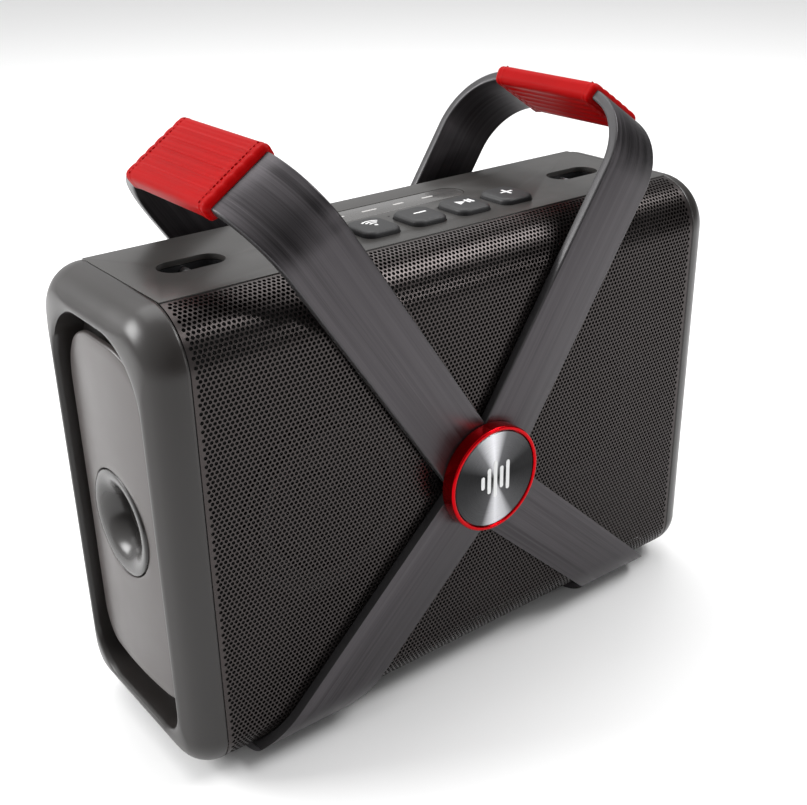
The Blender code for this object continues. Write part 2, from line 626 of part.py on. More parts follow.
# ---- rear sockets -------------------------------------------------------------------------------
def make_flap():
    """A rubber flap over the sockets; it swings up about the knuckle along its upper edge."""
    knuckle = 1.6 * MM
    low, high = FLAP_Z - FLAP_SIZE[1] / 2, FLAP_Z + FLAP_SIZE[1] / 2
    pivot = (BACK - knuckle, high - knuckle)
    thickness = 2.2 * MM
    local = arc((0, 0), knuckle, 0, 180) + [(-knuckle, -1 * MM), (knuckle - thickness, -2 * MM)]
    local += [(knuckle - thickness, low - pivot[1]), (knuckle, low - pivot[1])]
    hinge = bpy.data.objects.new("flap_hinge", None)
    hinge.location = (0, *pivot)
    PARTS.objects.link(hinge)
    flap = plate("socket_flap", [local], FLAP_SIZE[0], across_x(), RUBBER)
    flap.parent = hinge


def make_sockets():
    depth = BACK - 7 * MM
    usb_x, aux_x = -9 * MM, 10 * MM
    outer = centred(0, FLAP_Z, (FLAP_SIZE[0] - 4 * MM, FLAP_SIZE[1] - 1 * MM), 2 * MM, 3)
    usb_hole = centred(usb_x, FLAP_Z, (9.6 * MM, 3.9 * MM), 1.8 * MM, 4)
    aux_hole = arc((aux_x, FLAP_Z), 3.6 * MM, 0, 345, 23)
    plate("socket_plate", [outer, usb_hole, aux_hole], 1.6 * MM, across_y(depth), INNER)
    usb_length = 7.3 * MM
    usb = plate("usb_socket", [centred(usb_x, FLAP_Z, (8.94 * MM, 3.26 * MM), 1.6 * MM, 4)], usb_length,
                across_y(depth - 2.8 * MM), STEEL)
    mouth = [centred(usb_x, FLAP_Z, (8.34 * MM, 2.56 * MM), 1.25 * MM, 4),
             centred(usb_x, FLAP_Z, (6.6 * MM, 0.7 * MM), 0.2 * MM, 2)]
    combine(usb, plate("usb_mouth", mouth, usb_length, across_y(depth - 2 * MM)))
    jack = [(3.2, 1), (3.2, -11), (1.75, -11), (1.75, 1)]
    turned("aux_socket", [(r * MM, h * MM) for r, h in jack], along((0, 1, 0), (aux_x, depth, FLAP_Z)), STEEL, 24,
           closed=True)


def make_screw(index, x, z):
    """A pan-head screw with a hexagon socket, through the rear shell."""
    profile = [(0, 1.8), (1.6, 1.7), (2.6, 1.2), (3.1, 0.4), (3.1, 0), (1.5, 0), (1.5, -9), (0, -10)]
    screw = turned(f"rear_screw_{index}", [(r * MM, h * MM) for r, h in profile],
                   along((0, 1, 0), (x, BACK + GAP, z)), STEEL, 12)
    socket = rod(f"screw_socket_{index}", 1.3 * MM, 2 * MM, along((0, 1, 0), (x, BACK + GAP + 2 * MM, z)), segments=6)
    combine(screw, socket)


# ---- assembly -----------------------------------------------------------------------------------
make_grille()
make_rear_shell()
make_top_panel()
make_baffle()
make_controls()
make_electronics()
make_hub()
make_flap()
make_sockets()
for side, name in ((-1, "left"), (1, "right")):
    make_end_cap(side, name)
    make_end_panel(side, name)
    make_port_tube(side, name)
    make_strap_anchor(side, name)
    make_upper_strap(side, name)
    foot = make_lower_strap(side, name)
    make_feet(side, name, foot)
    make_grip(side, name)
    make_driver(side, name)
for index, (x, z) in enumerate(SCREW_PLACES):
    make_screw(index + 1, x, z)
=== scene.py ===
import math

import bmesh
import bpy
import numpy as np
from mathutils import Matrix, Vector


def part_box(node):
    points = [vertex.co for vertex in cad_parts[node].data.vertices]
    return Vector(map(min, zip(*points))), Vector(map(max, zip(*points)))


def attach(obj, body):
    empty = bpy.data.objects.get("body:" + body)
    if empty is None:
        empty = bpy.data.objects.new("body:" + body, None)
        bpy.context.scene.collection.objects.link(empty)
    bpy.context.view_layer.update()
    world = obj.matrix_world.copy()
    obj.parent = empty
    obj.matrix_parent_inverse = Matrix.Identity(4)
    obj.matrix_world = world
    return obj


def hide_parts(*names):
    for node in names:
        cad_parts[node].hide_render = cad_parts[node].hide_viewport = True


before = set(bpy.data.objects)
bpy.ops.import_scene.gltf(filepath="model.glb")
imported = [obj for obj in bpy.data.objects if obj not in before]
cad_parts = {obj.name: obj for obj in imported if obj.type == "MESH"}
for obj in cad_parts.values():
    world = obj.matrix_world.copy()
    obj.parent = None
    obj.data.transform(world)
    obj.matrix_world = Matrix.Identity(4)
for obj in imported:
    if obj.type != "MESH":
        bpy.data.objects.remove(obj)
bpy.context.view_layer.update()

MM = 0.001

# ---- places read from the frame, in millimetres --------------------------------------------------


def span(node):
    """Lowest and highest corner of a CAD node, in millimetres."""
    low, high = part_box(node)
    return low / MM, high / MM


cap_low, cap_high = span("end_cap_left")
FRONT, BACK = cap_low.y, cap_high.y
BOTTOM, TOP = cap_low.z, cap_high.z
MIDDLE, CENTRE_Z = (FRONT + BACK) / 2, (BOTTOM + TOP) / 2
SEAM = -cap_high.x
PANEL_LOW, PANEL_HIGH = span("top_panel")
LENS_LOW, LENS_HIGH = span("indicator_lens")
HUB_LOW, HUB_HIGH = span("hub_ring")
DISC_LOW = span("hub_disc")[0]
HUB_Z = (HUB_LOW.z + HUB_HIGH.z) / 2
HUB_RADIUS = (HUB_HIGH.x - HUB_LOW.x) / 2
PORT_LOW, PORT_HIGH = span("port_tube_right")
PANEL_X = span("end_panel_right")[1].x
BUTTONS = ("button_power", "button_wireless", "button_minus", "button_play", "button_plus")
BUTTON_FLANGE = 4

TOP_RADIUS, BOTTOM_RADIUS, END_RADIUS = 27, 20, 17
GAP, WALL = 0.3, 2.6            # between neighbouring shells, and how thick they are
STRAP_WIDTH, STRAP_THICKNESS, STRAP_CLEARANCE = 34, 5, 0.5
STRAP_STANDOFF = STRAP_CLEARANCE + STRAP_THICKNESS
UPPER_ANGLE, LOWER_ANGLE = math.radians(56.3), math.radians(42.9)
UPPER_CROSS_Z, LOWER_CROSS_Z = BOTTOM + 104.9, BOTTOM + 101.8
JOINT_Z = (UPPER_CROSS_Z + LOWER_CROSS_Z) / 2
JOINT_SLOPE = math.tan((UPPER_ANGLE - LOWER_ANGLE) / 2)
HANDLE_RISE, HANDLE_RADIUS = 197.5, 36
GRIP_LENGTH, GRIP_WALL = 70, 2.7


# ---- outlines ------------------------------------------------------------------------------------
def arc(centre, radius, start, end, steps=12):
    """Points on a circle, from start to end in degrees."""
    turn = [math.radians(start + (end - start) * i / steps) for i in range(steps + 1)]
    return [(centre[0] + radius * math.cos(a), centre[1] + radius * math.sin(a)) for a in turn]


def rounded(u, v, low_radius, high_radius=None, steps=12):
    """A rectangle over u and v, rounded by one radius below and another above."""
    high_radius = low_radius if high_radius is None else high_radius
    corners = (
        ((u[1] - low_radius, v[0] + low_radius), low_radius, -90),
        ((u[1] - high_radius, v[1] - high_radius), high_radius, 0),
        ((u[0] + high_radius, v[1] - high_radius), high_radius, 90),
        ((u[0] + low_radius, v[0] + low_radius), low_radius, 180),
    )
    points = []
    for centre, radius, start in corners:
        points += arc(centre, radius, start, start + 90, steps)
    return points


def centred(u, v, size, radius, steps=12):
    """A rounded rectangle of a given size around (u, v)."""
    half_u, half_v = size[0] / 2, size[1] / 2
    return rounded((u - half_u, u + half_u), (v - half_v, v + half_v), radius, steps=steps)


def resample(points, count):
    """Evenly spaced points along a closed outline, starting at its highest middle."""
    ring = np.array(points + points[:1])
    step = np.linalg.norm(np.diff(ring, axis=0), axis=1)
    reach = np.concatenate([[0], np.cumsum(step)])
    at = np.linspace(0, reach[-1], count, endpoint=False)
    return np.stack([np.interp(at, reach, ring[:, 0]), np.interp(at, reach, ring[:, 1])], 1)


# ---- making meshes -------------------------------------------------------------------------------
def new_object(name, mesh, place=None):
    made = bpy.data.objects.new(name, mesh)
    bpy.context.scene.collection.objects.link(made)
    if place is not None:
        made.matrix_world = place
    return made


def from_points(name, points, faces):
    """A mesh from points in millimetres."""
    mesh = bpy.data.meshes.new(name)
    mesh.from_pydata((np.array(points, float) * MM).tolist(), [], faces)
    shape = bmesh.new()
    shape.from_mesh(mesh)
    bmesh.ops.recalc_face_normals(shape, faces=shape.faces)
    shape.to_mesh(mesh)
    shape.free()
    return new_object(name, mesh)


def loft(name, rings, closed=False):
    """Skin a list of rings of equal length; the ends are capped unless the loft closes on itself."""
    count = len(rings[0])
    points = np.concatenate(rings)
    faces = []
    for r in range(len(rings) if closed else len(rings) - 1):
        here, there = r * count, ((r + 1) % len(rings)) * count
        for i in range(count):
            after = (i + 1) % count
            faces.append((here + i, here + after, there + after, there + i))
    if not closed:
        faces.append(tuple(range(count))[::-1])
        faces.append(tuple(range(len(points) - count, len(points))))
    return from_points(name, points, faces)


def frame_of(x_axis, y_axis, origin=(0, 0, 0)):
    """A local frame from two axes and an origin in millimetres."""
    x_axis, y_axis = Vector(x_axis), Vector(y_axis)
    turn = Matrix((x_axis, y_axis, x_axis.cross(y_axis))).transposed()
    return Matrix.Translation(Vector(origin) * MM) @ turn.to_4x4()


def across_x(x=0.0):
    return frame_of((0, 1, 0), (0, 0, 1), (x, 0, 0))


def across_y(y=0.0):
    return frame_of((1, 0, 0), (0, 0, 1), (0, y, 0))


def across_z(z=0.0):
    return frame_of((1, 0, 0), (0, 1, 0), (0, 0, z))


def along(axis, origin):
    """A local frame whose Z runs along the axis."""
    turn = Vector((0, 0, 1)).rotation_difference(Vector(axis)).to_matrix().to_4x4()
    return Matrix.Translation(Vector(origin) * MM) @ turn


def plate(name, outlines, thickness, place):
    """A flat outline in millimetres, with any holes as further outlines, given a thickness."""
    flat = bpy.data.curves.new(name, "CURVE")
    flat.dimensions = "2D"
    flat.fill_mode = "BOTH"
    flat.extrude = thickness / 2 * MM
    for outline in outlines:
        spline = flat.splines.new("POLY")
        spline.points.add(len(outline) - 1)
        for point, (u, v) in zip(spline.points, outline):
            point.co = (u * MM, v * MM, 0, 1)
        spline.use_cyclic_u = True
    made = new_object(name + "_outline", flat)
    mesh = bpy.data.meshes.new_from_object(made.evaluated_get(bpy.context.evaluated_depsgraph_get()))
    bpy.data.objects.remove(made)
    shape = bmesh.new()
    shape.from_mesh(mesh)
    bmesh.ops.remove_doubles(shape, verts=shape.verts, dist=0.000005)
    bmesh.ops.dissolve_limit(shape, angle_limit=0.001, verts=shape.verts, edges=shape.edges)
    bmesh.ops.recalc_face_normals(shape, faces=shape.faces)
    shape.to_mesh(mesh)
    shape.free()
    return new_object(name, mesh, place)


def rod(name, radius, length, place, segments=64):
    mesh = bpy.data.meshes.new(name)
    shape = bmesh.new()
    bmesh.ops.create_cone(shape, cap_ends=True, radius1=radius * MM, radius2=radius * MM, depth=length * MM,
                          segments=segments)
    shape.to_mesh(mesh)
    shape.free()
    return new_object(name, mesh, place)


def turned(name, profile, place, steps=96, closed=False):
    """A turned shape from (radius, height) points in millimetres, down its outer side."""
    mesh = bpy.data.meshes.new(name)
    edges = [(i, i + 1) for i in range(len(profile) - 1)]
    if closed:
        edges.append((len(profile) - 1, 0))
    mesh.from_pydata([(r * MM, 0, h * MM) for r, h in profile], edges, [])
    made = new_object(name, mesh, place)
    screw = made.modifiers.new("turn", "SCREW")
    screw.steps = screw.render_steps = steps
    screw.use_merge_vertices = True
    screw.merge_threshold = 0.000005
    return settle(made)


def settle(made):
    """Turn an object's modifiers into plain mesh."""
    bpy.context.view_layer.update()
    mesh = bpy.data.meshes.new_from_object(made.evaluated_get(bpy.context.evaluated_depsgraph_get()))
    made.modifiers.clear()
    made.data = mesh
    return made


def cut(made, cutter, operation="DIFFERENCE"):
    step = made.modifiers.new("cut", "BOOLEAN")
    step.operation = operation
    step.solver = "EXACT"
    step.object = cutter
    settle(made)
    bpy.data.objects.remove(cutter)
    return made


def soften(made, width, segments=3, angle=40):
    """Round every edge sharper than the given angle; width in millimetres."""
    bevel = made.modifiers.new("soften", "BEVEL")
    bevel.width = width * MM
    bevel.segments = segments
    bevel.limit_method = "ANGLE"
    bevel.angle_limit = math.radians(angle)
    bevel.harden_normals = False
    return settle(made)


def piece(made, look, body, *nodes, slot=None, smooth=35):
    """Give a finished shape its material and body, and hide the CAD nodes that it stands for."""
    made.data.materials.clear()
    made.data.materials.append(look)
    made.data.shade_smooth()
    if smooth is not None:
        made.data.set_sharp_from_angle(angle=math.radians(smooth))
    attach(made, body)
    if nodes:
        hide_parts(*nodes)
    return made


# ---- materials -----------------------------------------------------------------------------------
class Look:
    """A material under construction: a Principled shader and short ways to feed it."""

    def __init__(self, name, color, roughness, metallic=0.0, **sockets):
        self.material = bpy.data.materials.new(name)
        self.material.use_nodes = True
        self.tree = self.material.node_tree
        self.shader = self.tree.nodes["Principled BSDF"]
        self.set("Base Color", (*color, 1))
        self.set("Roughness", roughness)
        self.set("Metallic", metallic)
        for socket, value in sockets.items():
            self.set(socket.replace("_", " "), value)
        self.coordinates = self.tree.nodes.new("ShaderNodeTexCoord").outputs["Object"]
        self.bump_normal = None

    def set(self, socket, value):
        self.shader.inputs[socket].default_value = value

    def node(self, kind, **values):
        made = self.tree.nodes.new(kind)
        for key, value in values.items():
            setattr(made, key, value)
        return made

    def mapped(self, scale, rotation):
        """The object's coordinates, turned and then scaled."""
        turn, mapping = self.node("ShaderNodeMapping"), self.node("ShaderNodeMapping")
        turn.inputs["Rotation"].default_value = rotation
        mapping.inputs["Scale"].default_value = scale
        self.tree.links.new(self.coordinates, turn.inputs["Vector"])
        self.tree.links.new(turn.outputs["Vector"], mapping.inputs["Vector"])
        return mapping.outputs["Vector"]

    def noise(self, scale, detail=3.0, vector=None, roughness=0.5):
        """Noise whose scale is in features per metre."""
        made = self.node("ShaderNodeTexNoise")
        made.inputs["Scale"].default_value = scale
        made.inputs["Detail"].default_value = detail
        made.inputs["Roughness"].default_value = roughness
        self.tree.links.new(vector or self.coordinates, made.inputs["Vector"])
        return made.outputs["Fac"]

    def ramp(self, source, low, high, low_value, high_value):
        made = self.node("ShaderNodeMapRange")
        limits = {"From Min": low, "From Max": high, "To Min": low_value, "To Max": high_value}
        for socket, value in limits.items():
            made.inputs[socket].default_value = value
        self.tree.links.new(source, made.inputs["Value"])
        return made.outputs["Result"]

    def blend_color(self, source, first, second):
        made = self.node("ShaderNodeMix", data_type="RGBA")
        made.inputs[6].default_value = (*first, 1)
        made.inputs[7].default_value = (*second, 1)
        self.tree.links.new(source, made.inputs[0])
        return made.outputs[2]

    def feed(self, socket, source):
        self.tree.links.new(source, self.shader.inputs[socket])

    def bump(self, source, distance, strength=1.0):
        made = self.node("ShaderNodeBump")
        made.inputs["Distance"].default_value = distance * MM
        made.inputs["Strength"].default_value = strength
        self.tree.links.new(source, made.inputs["Height"])
        if self.bump_normal is not None:
            self.tree.links.new(self.bump_normal, made.inputs["Normal"])
        self.bump_normal = made.outputs["Normal"]
        self.feed("Normal", self.bump_normal)


def plastic(name, color, roughness, grain=0.02, **sockets):
    """Satin moulded plastic: a fine spark texture and slightly uneven gloss."""
    look = Look(name, color, roughness, **sockets)
    fine = look.noise(2600, 2)
    broad = look.noise(35, 4)
    look.bump(fine, grain, 0.35)
    look.feed("Roughness", look.ramp(broad, 0.3, 0.7, roughness - 0.035, roughness + 0.045))
    darker = tuple(c * 0.9 for c in color)
    look.feed("Base Color", look.blend_color(look.ramp(broad, 0.3, 0.7, 0, 1), darker, color))
    return look.material


def brushed(name, color, roughness, angle, anisotropy=0.55):
    """Metal brushed along a strap; the angle turns the noise so that X lies across the strap."""
    look = Look(name, color, roughness, 0.85, Anisotropic=anisotropy)
    lines = look.noise(1, 3, look.mapped((2400, 14, 14), (0, angle, 0)), 0.65)
    streaks = look.noise(1, 2, look.mapped((420, 5, 5), (0, angle, 0)), 0.5)
    look.bump(lines, 0.02, 0.35)
    both = look.node("ShaderNodeMath", operation="ADD")
    look.tree.links.new(lines, both.inputs[0])
    look.tree.links.new(streaks, both.inputs[1])
    spread = look.ramp(both.outputs[0], 0.75, 1.25, 0, 1)
    look.feed("Roughness", look.ramp(spread, 0, 1, roughness - 0.07, roughness + 0.1))
    dark, light = tuple(c * 0.72 for c in color), tuple(c * 1.25 for c in color)
    look.feed("Base Color", look.blend_color(spread, dark, light))
    return look.material


SHELL = plastic("shell", (0.019, 0.0165, 0.0155), 0.31, Specular_IOR_Level=0.42)
PANEL = plastic("end_panel_plastic", (0.060, 0.052, 0.050), 0.33, Specular_IOR_Level=0.42)
SHELL_TOP = plastic("shell_top", (0.034, 0.032, 0.030), 0.36)
INNER = plastic("inner", (0.008, 0.008, 0.009), 0.45)
PORT = plastic("port", (0.030, 0.028, 0.027), 0.24)
GRILLE = plastic("grille_coat", (0.050, 0.043, 0.042), 0.29, 0.01, Metallic=0.85)
BAFFLE = plastic("baffle", (0.006, 0.006, 0.006), 0.5, Specular_IOR_Level=0.2)
RUBBER = plastic("button_rubber", (0.011, 0.011, 0.012), 0.55, 0.03)
FLAP = plastic("flap_rubber", (0.018, 0.018, 0.019), 0.6, 0.03)
STRAP_SIDE = plastic("strap_side", (0.05, 0.048, 0.050), 0.36, Metallic=0.5)
PULP = plastic("driver_pulp", (0.02, 0.02, 0.02), 0.85, 0.08)
BOARD = plastic("circuit_board", (0.01, 0.09, 0.035), 0.4)
FERRITE = plastic("ferrite", (0.05, 0.05, 0.055), 0.55)
WRAP = plastic("battery_wrap", (0.02, 0.06, 0.2), 0.3)
STEEL = plastic("steel", (0.42, 0.42, 0.43), 0.3, 0.01, Metallic=1.0)
DARK_STEEL = plastic("blackened_steel", (0.05, 0.05, 0.05), 0.38, 0.01, Metallic=0.9)
ICON = plastic("icon_print", (0.80, 0.80, 0.80), 0.5, 0.005)
FAINT_ICON = plastic("faint_print", (0.42, 0.41, 0.40), 0.5, 0.005)
LENS = plastic("smoked_lens", (0.075, 0.072, 0.070), 0.24, 0.005, Coat_Weight=0.3)
GRIP = plastic("grip_silicone", (0.33, 0.0001, 0.0006), 0.45, 0.03, Specular_IOR_Level=0.06)
STITCH = plastic("grip_stitch", (0.22, 0.0003, 0.001), 0.7, 0.02, Specular_IOR_Level=0.05)
HUB_RED = plastic("hub_red", (0.46, 0.0006, 0.004), 0.22, 0.004, Metallic=0.9, Specular_IOR_Level=0.2)


# painted highlight: brightness of the turned face by angle, bright wedges that stand in for the reflection
# on spun metal, from one side round through below, the other side and above
PAINTED_HIGHLIGHT_BY_ANGLE = ((0.0, 0.02), (0.10, 0.05), (0.19, 0.07), (0.215, 0.34), (0.25, 0.62), (0.30, 0.42), (0.33, 0.08),
         (0.42, 0.04), (0.50, 0.012), (0.56, 0.02), (0.60, 0.06), (0.70, 0.10), (0.73, 0.42), (0.76, 0.66),
         (0.80, 0.40), (0.835, 0.12), (0.93, 0.015), (1.0, 0.02))


def spun_metal():
    """Dark metal turned on a lathe: fine concentric grooves, and a radial highlight painted into its colour
    as bright wedges by angle.
    """
    look = Look("spun_metal", (0.075, 0.075, 0.080), 0.30, 1.0, Anisotropic=0.95)
    tangent = look.node("ShaderNodeTangent", direction_type="RADIAL", axis="Z")
    look.tree.links.new(tangent.outputs["Tangent"], look.shader.inputs["Tangent"])
    parts = look.node("ShaderNodeSeparateXYZ")
    look.tree.links.new(look.coordinates, parts.inputs["Vector"])
    flat = look.node("ShaderNodeCombineXYZ")
    look.tree.links.new(parts.outputs["X"], flat.inputs["X"])
    look.tree.links.new(parts.outputs["Y"], flat.inputs["Y"])
    radius = look.node("ShaderNodeVectorMath", operation="LENGTH")
    look.tree.links.new(flat.outputs["Vector"], radius.inputs[0])
    grooves = look.noise(4200, 2, radius.outputs["Value"])
    look.bump(grooves, 0.006, 0.3)
    look.feed("Roughness", look.ramp(grooves, 0.3, 0.7, 0.24, 0.36))
    # painted highlight: the base colour is brighter in wedges by angle round the centre
    angle = look.node("ShaderNodeTexGradient", gradient_type="RADIAL")
    look.tree.links.new(look.coordinates, angle.inputs["Vector"])
    painted_highlight = look.node("ShaderNodeValToRGB")
    while len(painted_highlight.color_ramp.elements) < len(PAINTED_HIGHLIGHT_BY_ANGLE):
        painted_highlight.color_ramp.elements.new(0.5)
    for stop, (place, value) in zip(painted_highlight.color_ramp.elements, PAINTED_HIGHLIGHT_BY_ANGLE):
        stop.position = place
        stop.color = (value, value, value * 1.04, 1)
    look.tree.links.new(angle.outputs["Fac"], painted_highlight.inputs["Fac"])
    look.feed("Base Color", painted_highlight.outputs["Color"])
    return look.material


SPUN = spun_metal()


# ---- box: grille, caps, panels -------------------------------------------------------------------
def section_path(steps=24):
    """The front's section in Y and Z, from the top panel's edge round the front to the underside."""
    top_centre = (FRONT + TOP_RADIUS, TOP - TOP_RADIUS)
    low_centre = (FRONT + BOTTOM_RADIUS, BOTTOM + BOTTOM_RADIUS)
    start = math.degrees(math.acos((PANEL_LOW.y - GAP - top_centre[0]) / TOP_RADIUS))
    return arc(top_centre, TOP_RADIUS, start, 180, steps) + arc(low_centre, BOTTOM_RADIUS, 180, 270, steps)


def make_grille(side, name, pitch=2.3, hole=0.87, border=1.7, sheet=0.7):
    """A perforated sheet: a hexagonal field of round holes, bent along the box's section."""
    path = np.array(section_path())
    reach = np.concatenate([[0], np.cumsum(np.linalg.norm(np.diff(path, axis=0), axis=1))])
    length, half = reach[-1], SEAM - GAP
    row_step = pitch * math.sqrt(3) / 2
    rows, columns = int(length / row_step) + 2, int(half / pitch) + 2
    points, faces, index = [], [], {}

    def corner(u, s):
        u, s = min(max(u, -half), half), min(max(s, 0.0), length)
        key = (round(u, 3), round(s, 3))
        if key not in index:
            index[key] = len(points)
            points.append((u, s, 0.0))
        return index[key]

    turn = [math.radians(30 * i) for i in range(12)]
    ring = [(hole * math.cos(a), hole * math.sin(a)) for a in turn]
    reach_out = pitch / math.sqrt(3)
    hexagon = [(reach_out * math.cos(a), reach_out * math.sin(a)) for a in turn[1::2]]
    for row in range(rows):
        for column in range(columns):
            u = side * (column * pitch + (row % 2) * pitch / 2)
            if u == 0 and side < 0:
                continue
            s = row * row_step
            corners = [corner(u + x, s + y) for x, y in hexagon]
            if abs(u) > half - border or not border < s < length - border:
                distinct = list(dict.fromkeys(corners))
                if len(distinct) > 2 and abs(u) < half + pitch and s < length + pitch:
                    faces.append(tuple(distinct))
                continue
            start = len(points)
            points += [(u + x, s + y, 0.0) for x, y in ring]
            points += [(u + x, s + y, sheet) for x, y in ring]
            for k in range(6):
                a, b, c = (2 * k + 1) % 12, (2 * k + 2) % 12, (2 * k + 3) % 12
                faces.append((corners[k], corners[(k + 1) % 6], start + c, start + b, start + a))
            for k in range(12):
                after = (k + 1) % 12
                faces.append((start + k, start + after, start + 12 + after, start + 12 + k))
    flat = np.array(points)

    def on_path(s):
        return np.interp(s, reach, path[:, 0]), np.interp(s, reach, path[:, 1])

    y, z = on_path(flat[:, 1])
    step = 0.05
    ahead = on_path(np.minimum(flat[:, 1] + step, length))
    behind = on_path(np.maximum(flat[:, 1] - step, 0))
    along_y, along_z = ahead[0] - behind[0], ahead[1] - behind[1]
    size = np.hypot(along_y, along_z)
    inward_y, inward_z = -along_z / size, along_y / size
    bent = np.stack([flat[:, 0], y + inward_y * flat[:, 2], z + inward_z * flat[:, 2]], 1)
    mesh = bpy.data.meshes.new(f"grille_{name}")
    mesh.from_pydata((bent * MM).tolist(), [], [face[::-1] for face in faces])
    piece(new_object(f"grille_{name}", mesh), GRILLE, "cabinet", "front_grille", slot="grille", smooth=50)


def cap_ring(inset, x, low=BOTTOM_RADIUS, high=TOP_RADIUS):
    """The box's outline drawn in by inset, at a distance from the middle."""
    ring = rounded((FRONT + inset, BACK - inset), (BOTTOM + inset, TOP - inset), low, high, 20)
    return np.array([(x, y, z) for y, z in ring])


def make_end_cap(side, name):
    """The rounded end of the box: its rim rolls over a soft lip into the recess."""
    rings = [cap_ring(WALL, SEAM, BOTTOM_RADIUS - WALL, TOP_RADIUS - WALL)]
    rings += [cap_ring(0.25, SEAM), cap_ring(0, SEAM + 0.25)]
    steps, sweep = 14, 66           # the rounding stops short of a quarter turn
    for i in range(1, steps + 1):
        a = math.radians(sweep * i / steps)
        inset, x = END_RADIUS * (1 - math.cos(a)), SEAM + END_RADIUS * math.sin(a)
        rings.append(cap_ring(inset, x, BOTTOM_RADIUS - inset, TOP_RADIUS - inset))
    inset_start, x_start = inset, x
    low_start, high_start = BOTTOM_RADIUS - inset_start, TOP_RADIUS - inset_start
    inset_end, low_end, high_end = 15, 20, 32       # where the recess starts, and its corner radii
    crown = SEAM + END_RADIUS - 0.1
    lip = [(0.3, 0.60), (0.55, 0.88), (0.75, 1.0), (0.9, 0.93), (1.0, 0.55)]
    for share, lift in lip:
        inset = inset_start + (inset_end - inset_start) * share
        x = x_start + (crown - x_start) * lift
        low, high = low_start + (low_end - low_start) * share, high_start + (high_end - high_start) * share
        rings.append(cap_ring(inset, x, low, high))
    for inset, x in ((15.2, SEAM + 14), (15.4, SEAM + 10), (15.6, SEAM + WALL)):
        rings.append(cap_ring(inset, x, low_end - (inset - inset_end), high_end - (inset - inset_end)))
    flipped = [ring * (side, 1, 1) for ring in rings]
    cap = loft(f"cap_{name}", flipped)
    piece(cap, SHELL, "cabinet", f"end_cap_{name}", slot="shell", smooth=60)


def bowed_x(y, crown, bow=300):
    """How far out a bowed face stands at depth y."""
    return crown - bow + math.sqrt(bow * bow - (y - MIDDLE) ** 2)


def make_end_panel(side, name):
    """The bowed panel in the recess, with a round hole for the port."""
    low, high = span(f"end_panel_{name}")
    count = 240
    outline = resample(rounded((low.y, high.y), (low.z, high.z), 16, 33, 24), count)
    radius = (PORT_HIGH.z - PORT_LOW.z) / 2 + 0.55
    circle = resample(centred(MIDDLE, CENTRE_Z, (2 * radius, 2 * radius), radius, 60), count)

    def ring(share, inset, drop):
        """Between the outline drawn in by inset and the hole's edge, sunk by drop."""
        centre = np.array([MIDDLE, CENTRE_Z])
        reach = np.linalg.norm(outline - centre, axis=1, keepdims=True)
        edge = centre + (outline - centre) * (reach - inset) / reach
        flat = edge * (1 - share) + circle * share
        return np.array([(side * (bowed_x(y, PANEL_X) - drop), y, z) for y, z in flat])

    rings = [ring(0, 0, 2.4), ring(0, 0, 1.2), ring(0, 0.35, 0.35), ring(0, 1.2, 0)]
    rings += [ring(i / 12, 1.2, 0) for i in range(1, 12)]
    rings += [ring(0.985, 1.2, 0), ring(0.997, 1.2, 0.12), ring(1, 1.2, 0.5), ring(1, 1.2, 2.4)]
    panel = loft(f"panel_{name}", rings, closed=True)
    piece(panel, PANEL, "cabinet", f"end_panel_{name}", slot="shell", smooth=60)


def make_port(side, name):
    """The port's mouth: a narrow flat lip, a rolled flare and a dark bore."""
    outer, bore, depth = (PORT_HIGH.z - PORT_LOW.z) / 2, 13.0, 14.0
    lip, wall, end = 2.2, 1.8, PORT_LOW.x - PORT_HIGH.x
    profile = [(outer - lip, 0.05), (outer - 0.4, 0), (outer, -0.4), (outer, -6)]
    profile += [(bore + wall, -17), (bore + wall, end), (bore, end), (bore, -20), (bore, -depth - 1)]
    flare = outer - lip - bore
    profile += [(bore + flare * (1 - math.cos(a)), -depth * (1 - math.sin(a)))
                for a in (math.radians(7.5 * i) for i in range(0, 12))]
    place = along((side, 0, 0), (side * PORT_HIGH.x, MIDDLE, CENTRE_Z))
    port = turned(f"port_{name}", profile, place, 128, closed=True)
    piece(port, PORT, "cabinet", f"port_tube_{name}", slot="inner", smooth=50)


def make_top_panel():
    """The control panel, with windows for the buttons, the lens and the strap slots."""
    slot_low, slot_high = span("anchor_cup_right")
    cup_walls, flange = 3.2, BUTTON_FLANGE - 0.8        # how much wider these are than their openings
    slot_size = (slot_high.x - slot_low.x - cup_walls, slot_high.y - slot_low.y - cup_walls)
    slot_x, slot_y = (slot_low.x + slot_high.x) / 2, (slot_low.y + slot_high.y) / 2
    outlines = [rounded((PANEL_LOW.x, PANEL_HIGH.x), (PANEL_LOW.y, PANEL_HIGH.y), 0.3, steps=2)]
    for side in (-1, 1):
        outlines.append(centred(side * slot_x, slot_y, slot_size, slot_size[1] / 2 - 0.01, 20))
    for node in BUTTONS:
        low, high = span(node)
        outlines.append(centred((low.x + high.x) / 2, (low.y + high.y) / 2,
                                (high.x - low.x - flange, high.y - low.y - flange), 5.4, 10))
    lens_size = (LENS_HIGH.x - LENS_LOW.x + 2 * GAP, LENS_HIGH.y - LENS_LOW.y + 2 * GAP)
    outlines.append(centred(0, (LENS_LOW.y + LENS_HIGH.y) / 2, lens_size, lens_size[1] / 2 - 0.01, 24))
    thickness = PANEL_HIGH.z - PANEL_LOW.z
    panel = plate("control_panel", outlines, thickness, across_z(PANEL_HIGH.z - thickness / 2))
    soften(panel, 0.45, 3, 50)
    piece(panel, SHELL_TOP, "cabinet", "top_panel", slot="shell")
    at = frame_of((1, 0, 0), (0, 1, 0), (-8.5, FRONT + 57.5, PANEL_HIGH.z + 0.02))
    # painted shade: the microphone hole is not cut; a thin near-black disc on the panel stands in for its
    # dark inside
    microphone = rod("microphone_hole_painted_shade", 0.55, 0.2, at, 24)
    piece(microphone, INNER, "cabinet", slot="inner")


